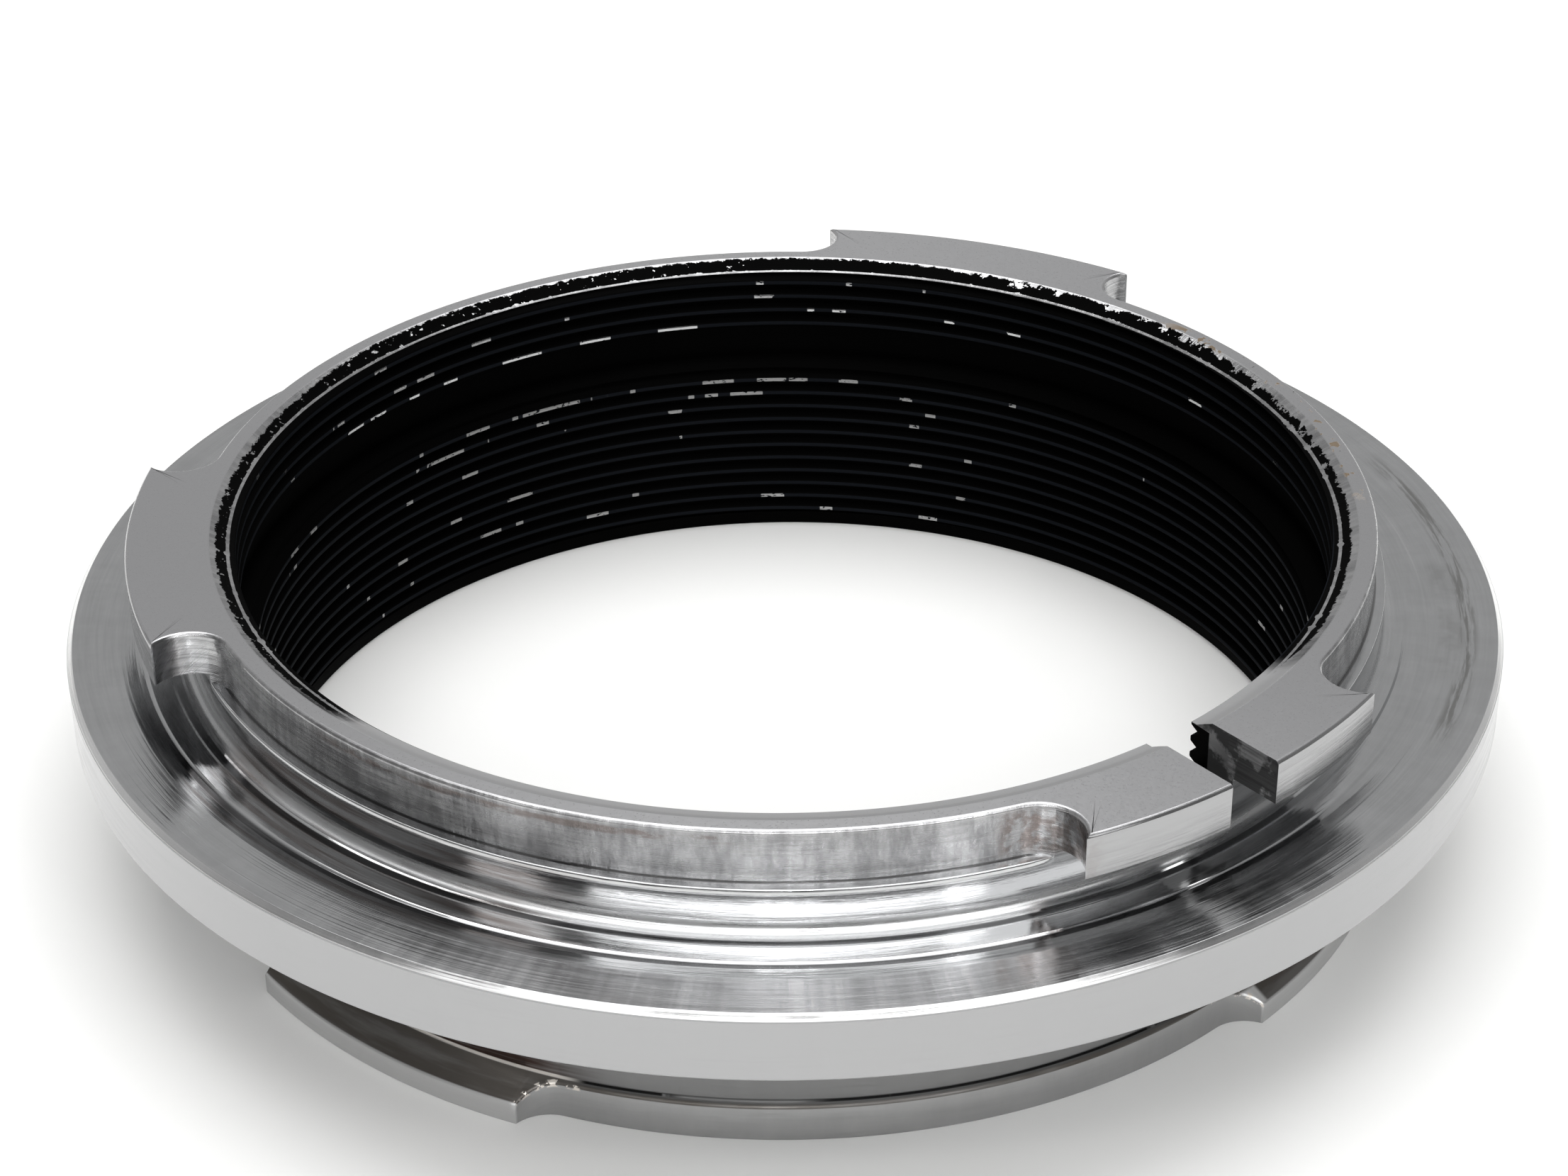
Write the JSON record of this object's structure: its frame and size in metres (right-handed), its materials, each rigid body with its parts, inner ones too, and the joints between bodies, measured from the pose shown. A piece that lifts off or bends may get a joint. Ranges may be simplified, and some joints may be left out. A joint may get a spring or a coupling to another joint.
{
  "type": "bayonet coupling ring",
  "caption": "Bare metal coupling ring with a flange and male lug bayonets on both faces; its blackened bore has fine threads and one upper lug is slotted.",
  "frame": {"origin": "centre of the lower rim, which is the plane that the ring rests on", "axes": "+Z along the optical axis towards the slotted bayonet; -Y towards the wide gap beside the slotted lug, which sits 309 degrees anticlockwise from +X"},
  "size_m": [0.0636, 0.0636, 0.0147],
  "materials": {
    "satin_steel": "turned and satin-ground bright metal, matte black paint on the threaded bore",
    "dull_steel": "duller machined metal with small burrs and stains, matte black paint on the threaded bore"
  },
  "bodies": {
    "root": {"upper_bayonet_ring": "satin_steel", "lower_bayonet_ring": "dull_steel"}
  },
  "joints": []
}
